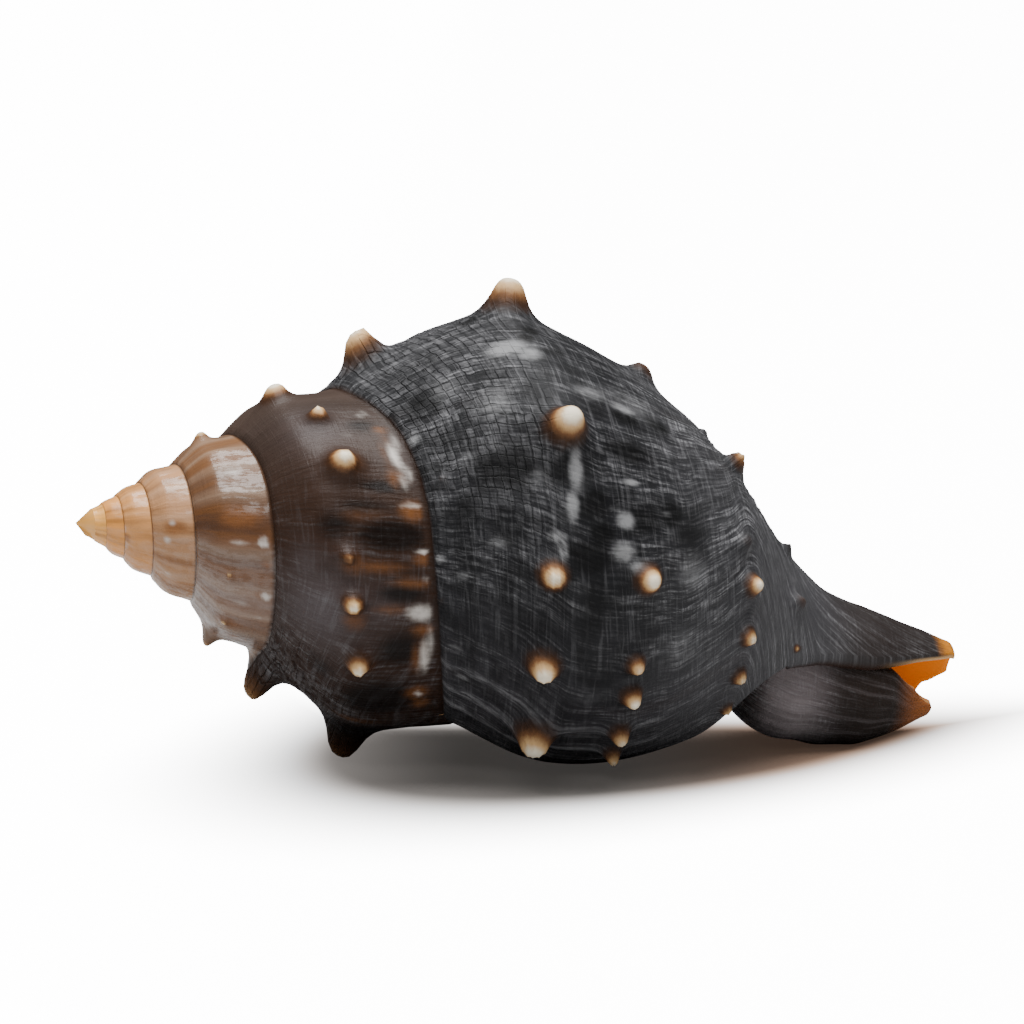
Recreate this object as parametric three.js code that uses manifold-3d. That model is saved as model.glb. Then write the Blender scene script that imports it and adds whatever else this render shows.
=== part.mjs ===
import * as THREE from "three";
import Module from "manifold-3d";

// A knobbed spiral sea shell, in millimetres, +Z up, resting on its mouth side on z = 0.
// A point of the shell is given by its turn (0 at the top of the body whorl, growing over the
// side of -Y to the underside), its distance along the axis from the apex, and its radius.

const wasm = await Module();
wasm.setup();

const axisYaw = 15;
const axisTilt = 4;
const stepsPerTurn = 40;
const spireTurns = 5;
const lipTurn = 0.44;
const chamberTurns = 0.8;
const lipThickness = 0.9;
const deepThickness = 3;
const canalThickness = [[71, 2.4], [80, 2.4], [87, 1.1], [90.4, 0.8]];
const cornerDepth = 1.7;
const leastRadius = 0.9;
const neckAlong = 71;
const neckBlend = 1.6;
const rampPower = 1.5;
const sideDepth = 6;

// Growth curves, as pairs of turn and millimetres: the suture, then the shoulder.
const sutureAlong = [
  [-7, 0.9], [-6, 1.7], [-5, 2.7], [-4, 4.15], [-3, 6.4], [-2, 9.9],
  [-1, 15], [-0.5, 19.6], [0, 25.2], [0.25, 30.8], [0.44, 36.8],
];
const sutureRadius = [
  [-7, 0.7], [-6, 1.2], [-5, 1.85], [-4, 2.8], [-3, 4.15], [-2, 6.1],
  [-1, 9.2], [-0.5, 12], [0, 13.9], [0.25, 15.9], [0.44, 18.4],
];
const shoulderAlong = [
  [-7, 1.2], [-6, 2.15], [-5, 3.3], [-4, 5.1], [-3, 7.8], [-2, 12.2], [-1, 19.3],
  [-0.75, 23.6], [-0.5, 29.8], [-0.25, 34.8], [0, 41], [0.25, 44.5], [0.47, 48],
];
const shoulderRadius = [
  [-7, 1], [-6, 1.6], [-5, 2.45], [-4, 3.7], [-3, 5.5], [-2, 8.4], [-1.5, 10.9],
  [-1, 13.1], [-0.75, 16.2], [-0.5, 20.1], [-0.25, 21], [0, 22.2], [0.25, 22.9], [0.47, 22.8],
];

// The side of the last turn below the shoulder: its fullness, and where it meets the canal.
const sideFullness = [[-0.8, 3.5], [-0.5, 4.5], [-0.3, 2.5], [0, 1.4], [0.25, 1.8], [0.47, 2]];
const baseAlong = [
  [-1.4, 32], [-0.8, 39], [-0.56, 45], [-0.4, 51], [-0.25, 59],
  [-0.1, 69], [0, 73.5], [0.25, 74], [0.47, 71.5],
];
const canalShare = [[-1.4, 0.35], [-0.8, 0.5], [-0.56, 0.86], [-0.35, 1], [0.44, 1]];

// The canal, as pairs of distance along the axis and millimetres: its radius, and its sag.
const canalRadius = [
  [20, 9.4], [62, 9.4], [68, 9.3], [73, 9.1], [76, 8.4], [80, 7.5], [82, 7.2], [84, 6.6],
  [86, 5.9], [88, 5.1], [90, 4.3], [92, 3.6], [94, 3.2],
];
const canalSag = [
  [0, 0], [46, 0], [54.5, 0.9], [58.6, 1.8], [62.7, 3.2], [66.8, 5.4],
  [70.9, 8.8], [73, 10.4], [76, 12], [78, 12.9], [80, 13.3], [82, 13.6], [86, 13.65], [90, 13.4], [94, 13.6],
];
const tipAlong = [
  [-0.56, 87.5], [-0.5, 88.4], [-0.4, 89.7], [-0.3, 89.8], [-0.1, 89.9], [-0.01, 90.9],
  [0.04, 92.2], [0.09, 93.4], [0.19, 93.5], [0.29, 92.4], [0.44, 92.2],
];

// How far the lip runs ahead of, or behind, its line at the suture, in degrees, along the axis.
const lipLead = [
  [38, 0], [44, 8], [48, 11], [56, 9], [60, 2], [62.6, -6], [65.3, -26],
  [69, -50], [71.4, -63], [73.5, -72], [75.8, -81], [77.5, -87], [79.9, -91], [84.7, -96],
  [87.3, -101], [89.3, -105], [90.6, -110], [91.8, -119],
];

// The slot of the canal, in degrees, along the axis, and how soon the last turn closes over it.
const slotWidth = [
  [68, 0], [72, 0.5], [74, 1.5], [77, 6.5], [80, 9], [82.5, 11], [84.4, 14], [85.2, 20],
  [85.8, 27], [87.5, 44], [90.4, 60],
];
const slotTurns = 0.25;

// The fold of the canal beside the lip.
const foldHeight = 1.3;
const foldAlong = 70.5;
const foldWidth = 3.5;
const foldTurn = -0.4;
const foldTurns = 0.12;

// Columns of the mesh across one turn.
const rampColumns = 3;
const sideColumns = 2;
const bodyColumns = 12;
const canalColumns = 6;

// Knobs: turn, distance along the axis, height, radius of the base.
const shoulderKnobs = [
  [0, 42.3, 4.2, 3.2], [0.146, 44, 2.4, 2.4], [0.255, 42.6, 2.1, 2], [0.327, 43, 2.3, 2.1],
  [0.393, 44.4, 2.6, 2.2], [-0.12, 40, 2.8, 2.5], [-0.24, 36.6, 2.8, 2.5], [-0.35, 34.2, 3, 2.5],
];
const upperRow = [
  [0.02, 56, 1.1, 1.3], [0.25, 52.4, 1.9, 1.9], [0.317, 51.9, 1.4, 1.3], [0.343, 52.2, 1.4, 1.4],
  [0.382, 52.3, 1.5, 1.5], [0.41, 52.7, 1.5, 1.4], [-0.12, 51.5, 1.4, 1.5], [-0.26, 48, 1.5, 1.5],
];
const lowerRow = [
  [0.01, 63.4, 0.7, 1.3], [0.07, 65.4, 1.7, 1.6], [0.191, 63.8, 1.3, 1.4], [0.228, 64.8, 1.5, 1.5],
  [0.281, 64.7, 1.3, 1.3], [0.324, 64.4, 1.3, 1.3], [0.366, 64.2, 1.1, 1.1], [-0.1, 62, 1.3, 1.4],
  [-0.22, 59.5, 1.3, 1.4], [0.07, 72.1, 1, 1.1], [0.176, 71.8, 1.1, 1.2],
];
const spireKnobs = [
  [-0.48, 29.4, 4.6, 3.2], [-0.64, 25.9, 1.9, 1.5], [-0.696, 24.6, 1.5, 1.3], [-0.742, 23.9, 1.4, 1.2],
  [-0.843, 23.6, 1.7, 1.5], [-0.913, 22, 1.2, 1.2], [-0.995, 19, 0.9, 1.4],
  [-1.25, 16.2, 1.3, 1.3], [-1.38, 15, 1.2, 1.2], [-1.5, 14.3, 1.5, 1.2], [-2.01, 12.2, 0.7, 0.9],
];
const rampKnobs = [[-0.02, 28.7, 3.7, 2.6], [-0.48, 20.8, 4.6, 2.6], [-0.2, 26, 2, 1.9]];

// A knob's rings: share of the base radius, share of the height. A large knob also flares at its foot.
const knobRings = [[0.6, 0.48], [0.36, 0.84]];
const flareRing = [0.95, 0.18];
const flareWidth = 1.5;
const knobRoot = 0.6;
const smallKnob = 2;
const smallSides = 6;
const largeSides = 8;
const knobLean = 0.5;

const floorRise = 1.5;
const restWear = 0.35;

const degree = Math.PI / 180;

// A smooth curve through pairs of numbers, with no overshoot, held level past its ends.
function curve(keys, x) {
  const last = keys.length - 1;
  if (x <= keys[0][0]) return keys[0][1];
  if (x >= keys[last][0]) return keys[last][1];
  let i = 0;
  while (x > keys[i + 1][0]) i++;
  const rise = (k) => (keys[k + 1][1] - keys[k][1]) / (keys[k + 1][0] - keys[k][0]);
  const slope = (k) => {
    if (k === 0) return rise(0);
    if (k === last) return rise(last - 1);
    const before = rise(k - 1);
    const after = rise(k);
    return before * after <= 0 ? 0 : (2 * before * after) / (before + after);
  };
  const width = keys[i + 1][0] - keys[i][0];
  const f = (x - keys[i][0]) / width;
  const near = keys[i][1] * (1 + 2 * f) + slope(i) * width * f;
  const far = keys[i + 1][1] * (3 - 2 * f) + slope(i + 1) * width * (f - 1);
  return near * (1 - f) ** 2 + far * f ** 2;
}

function growth(keys, turn) {
  return Math.exp(curve(keys.map(([t, v]) => [t, Math.log(v)]), turn));
}

// The larger of two radii, with a soft passage between them.
function blend(first, second, width) {
  return 0.5 * (first + second + Math.hypot(first - second, width));
}

function rampRadius(turn, share) {
  const low = growth(sutureRadius, turn);
  const high = growth(shoulderRadius, turn);
  return low + (high - low) * (1 - (1 - share) ** rampPower);
}

// The radius below the shoulder. Growth is the turn at which that stretch of shell was made.
function sideRadius(along, turn, made) {
  const top = growth(shoulderAlong, turn);
  const wide = growth(shoulderRadius, turn);
  const end = curve(baseAlong, turn);
  const share = curve(canalShare, made);
  const neck = curve(canalRadius, along) * share;
  const foot = curve(canalRadius, end) * share;
  const s = Math.max(0, (along - top) / (end - top));
  const base = foot + (wide - foot) * (1 - s ** curve(sideFullness, turn));
  const fold = foldHeight * Math.exp(-(((along - foldAlong) / foldWidth) ** 2))
    * Math.exp(-(((made - foldTurn) / foldTurns) ** 2));
  return blend(base, neck, neckBlend * Math.min(1, s)) + fold;
}

const yaw = axisYaw * degree;
const tilt = axisTilt * degree;
const level = Math.cos(tilt);
const alongAxis = new THREE.Vector3(Math.cos(yaw) * level, Math.sin(yaw) * level, -Math.sin(tilt));
const sideways = new THREE.Vector3(Math.sin(yaw), -Math.cos(yaw), 0);
const upward = new THREE.Vector3().crossVectors(alongAxis, sideways).negate();

function place([turn, along, radius]) {
  const angle = turn * 2 * Math.PI;
  return new THREE.Vector3()
    .addScaledVector(alongAxis, along)
    .addScaledVector(upward, radius * Math.cos(angle) - curve(canalSag, along))
    .addScaledVector(sideways, radius * Math.sin(angle));
}

const lipRow = (spireTurns + 1) * stepsPerTurn;
const startRow = spireTurns * stepsPerTurn;
const sutureColumn = rampColumns + sideColumns;
const neckColumn = sutureColumn + bodyColumns;
const tipColumn = neckColumn + canalColumns;
const depth = Math.round(chamberTurns * stepsPerTurn);
const turnOf = (row) => lipTurn + (row - lipRow) / stepsPerTurn;

// One point of the outside: turn, distance along the axis, radius.
function outside(row, column) {
  const made = turnOf(row);
  const suture = growth(sutureAlong, made);
  const shoulder = growth(shoulderAlong, made);
  if (column <= rampColumns) {
    const share = column / rampColumns;
    const lead = row > startRow ? (curve(lipLead, shoulder) / 360) * share ** 2 : 0;
    const turn = made + lead;
    return [turn, suture + (growth(shoulderAlong, turn) - suture) * share, rampRadius(turn, share)];
  }
  if (row <= startRow && column <= sutureColumn) {
    const share = (column - rampColumns) / sideColumns;
    const low = growth(sutureRadius, made + 1);
    const high = growth(shoulderRadius, made);
    const along = shoulder + (growth(sutureAlong, made + 1) - shoulder) * share;
    return [made, along, high + (low - high) * share];
  }
  const since = (row - startRow) / stepsPerTurn;
  const edge = growth(shoulderAlong, made + curve(lipLead, shoulder) / 360);
  const line = growth(sutureAlong, lipTurn) * (1 - since) + (edge + sideDepth) * since;
  let along;
  if (column <= sutureColumn) {
    along = edge + ((line - edge) * (column - rampColumns)) / sideColumns;
  } else if (column <= neckColumn) {
    along = line + ((neckAlong - line) * (column - sutureColumn)) / bodyColumns;
  } else {
    along = neckAlong + ((curve(tipAlong, made) - neckAlong) * (column - neckColumn)) / canalColumns;
  }
  const slot = (curve(slotWidth, along) / 360) * Math.max(0, 1 - since / slotTurns);
  const turn = made + curve(lipLead, along) / 360 + slot;
  return [turn, along, sideRadius(along, turn, made)];
}

// The wall inside the mouth that the last turn is wound upon.
function inner(step, column) {
  if (step === 0) return outside(startRow, column);
  const made = turnOf(startRow - step);
  const corner = growth(sutureAlong, made + 1) + cornerDepth;
  const along = corner + ((neckAlong - corner) * (column - sutureColumn)) / bodyColumns;
  const turn = made + curve(lipLead, along) / 360;
  return [turn, along, sideRadius(along, turn, made)];
}

// The inside of the last turn, one wall thickness in from the outside.
function lining(row, column) {
  const here = outside(row, column);
  const before = outside(row, Math.max(0, column - 1));
  const after = outside(row, Math.min(tipColumn, column + 1));
  const da = after[1] - before[1];
  const dr = after[2] - before[2];
  const long = Math.hypot(da, dr);
  const body = lipThickness + ((deepThickness - lipThickness) * (lipRow - row)) / depth;
  const thick = column >= neckColumn ? curve(canalThickness, here[1]) : body;
  const radius = Math.max(leastRadius, here[2] - (thick * da) / long);
  return [here[0], here[1] + (column < neckColumn ? (thick * dr) / long : 0), radius];
}

const points = [];
const triangles = [];
const keep = (point) => points.push(place(point)) - 1;
const face = (a, b, c) => {
  if (a !== b && b !== c && c !== a) triangles.push(a, b, c);
};
const normal = (a, b, c) => {
  return new THREE.Triangle(points[a], points[b], points[c]).getNormal(new THREE.Vector3());
};
// Splits a four-sided face along the diagonal that leaves it flatter.
const quad = (a, b, c, d) => {
  const first = normal(a, b, c).dot(normal(a, c, d));
  const second = normal(b, c, d).dot(normal(b, d, a));
  if (a === b || first >= second) {
    face(a, b, c);
    face(a, c, d);
  } else {
    face(b, c, d);
    face(b, d, a);
  }
};

const outer = [];
for (let row = 0; row <= lipRow; row++) {
  outer.push([]);
  const width = row < startRow ? sutureColumn : tipColumn;
  for (let column = 0; column <= width; column++) {
    const sewn = column === 0 && row >= stepsPerTurn;
    outer[row].push(sewn ? outer[row - stepsPerTurn][sutureColumn] : keep(outside(row, column)));
  }
}
for (let row = 0; row < lipRow; row++) {
  const width = row < startRow ? sutureColumn : tipColumn;
  for (let column = 0; column < width; column++) {
    quad(outer[row][column], outer[row + 1][column], outer[row + 1][column + 1], outer[row][column + 1]);
  }
}

const apex = keep([0, 0, 0]);
for (let row = 0; row < stepsPerTurn; row++) face(apex, outer[row + 1][0], outer[row][0]);
for (let column = 0; column < sutureColumn; column++) face(apex, outer[0][column], outer[0][column + 1]);

// The inside: the canal's trough, then the chamber between the last turn and the one before.
const wound = [];
for (let step = 0; step <= depth; step++) {
  wound.push([]);
  for (let column = sutureColumn; column <= neckColumn; column++) {
    wound[step][column] = step === 0 ? outer[startRow][column] : keep(inner(step, column));
  }
}
const lined = [];
for (let row = lipRow; row >= startRow; row--) {
  lined[row] = [];
  const step = lipRow - row;
  for (let column = 0; column <= tipColumn; column++) {
    if (column < neckColumn && step > depth) continue;
    lined[row][column] = column === 0 ? wound[step][sutureColumn] : keep(lining(row, column));
  }
}
for (let row = startRow; row < lipRow; row++) {
  const first = lipRow - row <= depth ? 0 : neckColumn;
  for (let column = first; column < tipColumn; column++) {
    quad(lined[row][column], lined[row][column + 1], lined[row + 1][column + 1], lined[row + 1][column]);
  }
  quad(outer[row][tipColumn], outer[row + 1][tipColumn], lined[row + 1][tipColumn], lined[row][tipColumn]);
}
for (let column = 0; column < tipColumn; column++) {
  quad(outer[lipRow][column], lined[lipRow][column], lined[lipRow][column + 1], outer[lipRow][column + 1]);
}
for (let column = neckColumn; column < tipColumn; column++) {
  quad(outer[startRow][column], outer[startRow][column + 1], lined[startRow][column + 1], lined[startRow][column]);
}
for (let step = 0; step < depth; step++) {
  for (let column = sutureColumn; column < neckColumn; column++) {
    quad(wound[step][column], wound[step][column + 1], wound[step + 1][column + 1], wound[step + 1][column]);
  }
}
// Closes the chamber's far end between two edges that start at one corner.
const low = wound[depth].slice(sutureColumn);
const high = lined[lipRow - depth].slice(0, neckColumn + 1);
for (let i = 0, j = 0; i < low.length - 1 || j < high.length - 1; ) {
  if (j === high.length - 1 || (i + 1) / low.length < (j + 1) / high.length) {
    face(low[i], low[i + 1], high[j]);
    i++;
  } else {
    face(low[i], high[j + 1], high[j]);
    j++;
  }
}

// The floor between the chamber and the canal, round the axis.
const floor = [];
for (let row = startRow; row <= lipRow - depth; row++) floor.push(lined[row][neckColumn]);
for (let step = depth; step >= 0; step--) floor.push(wound[step][neckColumn]);
const middle = keep([0, neckAlong - floorRise, 0]);
floor.forEach((vertex, i) => face(middle, vertex, floor[(i + 1) % floor.length]));

function solidFrom(vertices, indices) {
  return new wasm.Manifold(new wasm.Mesh({
    numProp: 3,
    vertProperties: new Float32Array(vertices.flatMap((v) => [v.x, v.y, v.z])),
    triVerts: new Uint32Array(indices),
  }));
}

// The radius of the outside at any turn and distance along the axis.
function skinRadius(turn, along) {
  const suture = growth(sutureAlong, turn);
  const shoulder = growth(shoulderAlong, turn);
  if (along < shoulder) return rampRadius(turn, (along - suture) / (shoulder - suture));
  if (turn > lipTurn - 1) return sideRadius(along, turn, turn);
  const share = (along - shoulder) / (growth(sutureAlong, turn + 1) - shoulder);
  return growth(shoulderRadius, turn) * (1 - share) + growth(sutureRadius, turn + 1) * share;
}

// A knob is a cone with a rounded top, set into the wall and leaning out from it.
function knob([turn, along, height, base]) {
  const at = (t, a) => place([t, a, skinRadius(t, a)]);
  const foot = at(turn, along);
  const round = at(turn + 0.01, along).sub(at(turn - 0.01, along));
  const down = at(turn, along + 0.4).sub(at(turn, along - 0.4));
  const normal = new THREE.Vector3().crossVectors(round, down).normalize();
  const radial = place([turn, along, 2]).sub(place([turn, along, 1]));
  const out = normal.multiplyScalar(knobLean).addScaledVector(radial, 1 - knobLean).normalize();
  const across = down.addScaledVector(out, -down.dot(out)).normalize();
  const other = new THREE.Vector3().crossVectors(out, across);
  const large = height > smallKnob;
  const sides = large ? largeSides : smallSides;
  const ring = ([width, rise]) => Array.from({ length: sides }, (_, i) => {
    const angle = (i * 2 * Math.PI) / sides;
    return foot.clone()
      .addScaledVector(out, rise)
      .addScaledVector(across, base * width * Math.cos(angle))
      .addScaledVector(other, base * width * Math.sin(angle));
  });
  const rings = knobRings.map(([width, share]) => [width, share * height]);
  if (large) rings.unshift([flareWidth, -2 * knobRoot], [flareRing[0], flareRing[1] * height]);
  else rings.unshift([1, -knobRoot]);
  const vertices = rings.flatMap(ring);
  const indices = [];
  const tip = vertices.push(foot.clone().addScaledVector(out, height)) - 1;
  const root = vertices.push(foot.clone().addScaledVector(out, -knobRoot)) - 1;
  for (let i = 0; i < sides; i++) {
    const next = (i + 1) % sides;
    for (let low = 0; low < tip - sides; low += sides) {
      const high = low + sides;
      indices.push(low + i, low + next, high + next, low + i, high + next, high + i);
    }
    indices.push(tip - sides + i, tip - sides + next, tip, i, root, next);
  }
  return solidFrom(vertices, indices);
}

let shell = solidFrom(points, triangles);
for (const one of [...shoulderKnobs, ...upperRow, ...lowerRow, ...spireKnobs, ...rampKnobs]) {
  shell = shell.add(knob(one));
}

// Stands the shell on z = 0 with its box centred on the origin. The three lowest places, a spine,
// the lip and the lobe beside the canal, are worn flat, so that it rests on small level faces.
const box = shell.boundingBox();
const lowest = box.min[2] + restWear;
shell = shell.translate([-(box.min[0] + box.max[0]) / 2, -(box.min[1] + box.max[1]) / 2, -lowest]);
const room = new THREE.BoxGeometry(200, 200, 100).translate(0, 0, 50).toNonIndexed();
const corners = room.getAttribute("position");
const found = [];
const walls = [];
for (let i = 0; i < corners.count; i++) {
  const corner = new THREE.Vector3().fromBufferAttribute(corners, i);
  let at = found.findIndex((one) => one.distanceTo(corner) < 1e-6);
  if (at < 0) at = found.push(corner) - 1;
  walls.push(at);
}
shell = shell.intersect(solidFrom(found, walls));

const mesh = shell.getMesh();
const positions = new Float32Array(mesh.numVert * 3);
for (let i = 0; i < mesh.numVert; i++) {
  positions.set(mesh.vertProperties.subarray(i * mesh.numProp, i * mesh.numProp + 3), i * 3);
}
const geometry = new THREE.BufferGeometry();
geometry.setAttribute("position", new THREE.BufferAttribute(positions, 3));
geometry.setIndex(new THREE.BufferAttribute(mesh.triVerts, 1));
geometry.computeVertexNormals();

const whole = new THREE.Mesh(
  geometry,
  new THREE.MeshStandardMaterial({ color: 0x34302f, roughness: 0.42, metalness: 0 }),
);
whole.name = "shell";

const group = new THREE.Group();
group.add(whole);
export default group;
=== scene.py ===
import math

import bpy
import numpy as np
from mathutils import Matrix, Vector, noise


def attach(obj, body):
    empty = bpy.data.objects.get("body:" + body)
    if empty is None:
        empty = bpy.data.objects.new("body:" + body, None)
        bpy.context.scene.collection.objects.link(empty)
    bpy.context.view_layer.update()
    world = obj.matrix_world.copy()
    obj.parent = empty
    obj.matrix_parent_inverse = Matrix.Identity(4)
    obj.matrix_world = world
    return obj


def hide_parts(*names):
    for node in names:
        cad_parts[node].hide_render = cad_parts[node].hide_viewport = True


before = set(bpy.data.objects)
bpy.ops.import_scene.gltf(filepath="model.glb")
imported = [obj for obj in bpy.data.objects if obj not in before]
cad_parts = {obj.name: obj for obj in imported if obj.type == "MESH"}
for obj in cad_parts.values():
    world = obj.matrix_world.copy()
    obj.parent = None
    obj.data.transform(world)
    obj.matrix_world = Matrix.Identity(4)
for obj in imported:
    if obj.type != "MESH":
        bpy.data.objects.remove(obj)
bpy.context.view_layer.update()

# A spiral sea shell that lies on its mouth side. Lengths are in millimetres until a mesh is made.
# A point of the shell has a turn (0 at the top, growing over the near side to the underside), a distance
# along the axis from the apex, and a radius.
mm = 0.001
degree = math.pi / 180

form = {
    "axisYaw": 15, "axisTilt": 4, "lipTurn": 0.44, "neckAlong": 71, "neckBlend": 1.6,
    "rampPower": 1.5, "sideDepth": 6, "cornerDepth": 1.7, "leastRadius": 0.9, "slotTurns": 0.25,
    "firstTurn": -8, "apexAlong": 0.25, "cornerTurns": 0.08,
    "sutureAlong": [
        (-8, 0.5), (-7, 0.9), (-6, 1.7), (-5, 2.7), (-4, 4.15), (-3, 6.4), (-2, 9.9),
        (-1, 15.2), (-0.85, 17.3), (-0.7, 18.3), (-0.5, 19.6), (0, 25.8), (0.12, 30.1), (0.2, 31.8),
        (0.25, 32.4), (0.33, 33.8), (0.44, 36.8),
    ],
    "sutureRadius": [
        (-8, 0.7), (-7, 1), (-6, 1.4), (-5, 1.95), (-4, 2.8), (-3, 4.15), (-2, 6.1),
        (-1, 9.2), (-0.5, 12), (0, 13.9), (0.25, 15.9), (0.44, 18.4),
    ],
    "shoulderAlong": [
        (-8, 0.7), (-7, 1.2), (-6, 2.15), (-5, 3.3), (-4, 5.1), (-3, 7.8), (-2, 12.2), (-1, 19.3),
        (-0.75, 23.6), (-0.5, 29.8), (-0.25, 34.8), (0, 41), (0.25, 44.5), (0.47, 48),
    ],
    "shoulderRadius": [
        (-8, 0.8), (-7, 1.1), (-6, 1.6), (-5, 2.4), (-4, 3.65), (-3, 5.5), (-2, 8.4), (-1.5, 10.9),
        (-1, 13.1), (-0.75, 16.2), (-0.5, 20.1), (-0.25, 21), (0, 22.2), (0.25, 22.9), (0.47, 22.8),
    ],
    "sideFullness": [(-0.8, 3.5), (-0.5, 4.5), (-0.3, 2.5), (0, 1.4), (0.25, 1.8), (0.47, 2)],
    "baseAlong": [
        (-1.4, 32), (-0.8, 39), (-0.56, 45), (-0.4, 51), (-0.25, 59),
        (-0.1, 69), (0, 73.5), (0.25, 74), (0.47, 71.5),
    ],
    "canalShare": [(-1.4, 0.35), (-0.8, 0.5), (-0.56, 0.86), (-0.35, 1), (0.44, 1)],
    "canalRadius": [
        (20, 9.4), (62, 9.4), (68, 9.3), (73, 9.1), (76, 8.4), (80, 7.5), (82, 7.2), (84, 6.6),
        (86, 5.9), (88, 5.1), (90, 4.3), (92, 3.6), (94, 3.2),
    ],
    "canalSag": [
        (0, 0), (46, 0), (54.5, 0.9), (58.6, 1.8), (62.7, 3.2), (66.8, 5.4), (70.9, 8.8), (73, 10.4),
        (76, 12), (78, 12.9), (80, 13.3), (82, 13.6), (86, 13.65), (90, 13.4), (94, 13.6),
    ],
    "tipAlong": [
        (-0.56, 87.5), (-0.5, 88.4), (-0.4, 89.7), (-0.3, 89.8), (-0.1, 89.9), (-0.01, 90.9),
        (0.04, 92.2), (0.09, 93.4), (0.19, 93.5), (0.29, 92.4), (0.44, 92.2),
    ],
    # how far the lip runs ahead of its line at the suture, in degrees, along the axis
    "lipLead": [
        (38, 0), (44, 8), (48, 11), (56, 9), (60, 2), (62.6, -6), (65.3, -26),
        (69, -50), (71.4, -63), (73.5, -72), (75.8, -81), (77.5, -87), (79.9, -91), (84.7, -96),
        (87.3, -101), (89.3, -105), (90.6, -110), (91.8, -119),
    ],
    "slotWidth": [
        (68, 0), (72, 0.5), (74, 1.5), (77, 6.5), (80, 9), (82.5, 11), (84.4, 14), (85.2, 20),
        (85.8, 27), (87.5, 44), (90.4, 60),
    ],
    "fold": {"height": 1.3, "along": 70.5, "width": 3.5, "turn": -0.4, "turns": 0.12},
    "lipThickness": 0.9, "deepThickness": 3, "chamberTurns": 0.8, "floorRise": 1.5, "restWear": 0.35,
    # relief: the raised edge at a suture, as a share of its radius, and waves by length and height
    "sutureEdge": 0.022, "sutureReach": 0.03,
    "waves": [(1.7, 0.01), (2.9, 0.018), (4.7, 0.03), (7.9, 0.045)],
    "waveEnd": 1.5, "waveRadius": 22,
    # the relief calms down by this share over this stretch of the axis
    "calmAlong": (66, 74), "calmShare": 0.8,
    "ribs": {"perTurn": 16, "before": -1.1, "fade": 0.3, "height": 0.02, "width": 0.17},
    "canalThickness": [(71, 2.4), (80, 2.4), (87, 1.1), (90.4, 0.8)],
    # raised growth ridges near the lip: turn, height, half width; they end over a stretch of the axis
    "ridges": [(0.378, 0.34, 0.55), (0.4, 0.2, 0.4), (0.35, 0.16, 0.5), (0.262, 0.12, 0.9), (0.2, 0.14, 0.8)],
    "ridgeEnd": (54, 62),
    # rounds of softening at the shoulder of the covered turns and of the last one, and its reach in columns
    "softenSpire": 30, "softenLast": 34, "softenReach": 14,
    # turns over which the painted shade in a suture's crease comes in, and the early turns' own measure of
    # the profile ends
    "sutureShadeTurns": (-6.5, -3.5), "ownProfileEnd": (-0.72, -0.56),
    # places in the pattern, by profile and along the axis, of the chamber's far end and floor
    "deepPlace": (30, 60), "floorPlace": (50, 70),
    # mesh: steps round each turn, from the last turn to the first, and columns of each region
    "steps": (400, 200, 100, 100, 50, 50, 50), "columnPower": 1.35, "rampColumns": 24, "sideColumns": 10,
    "bodyColumns": 68, "canalColumns": 40, "insideStep": 4, "floorRings": 6, "rimSteps": 5,
}

# patches of rough scales: turn, distance along the axis, their reach in turns and in mm, grain and height
scaleForm = [
    (-0.57, 20, 0.1, 6, 0.9, 0.34), (-0.03, 32, 0.06, 6, 0.8, 0.16), (0.03, 67, 0.1, 8, 1, 0.22),
    (0.1, 36, 0.12, 7, 0.9, 0.08), (0.005, 38.8, 0.025, 2.6, 0.5, 0.3),
]

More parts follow.
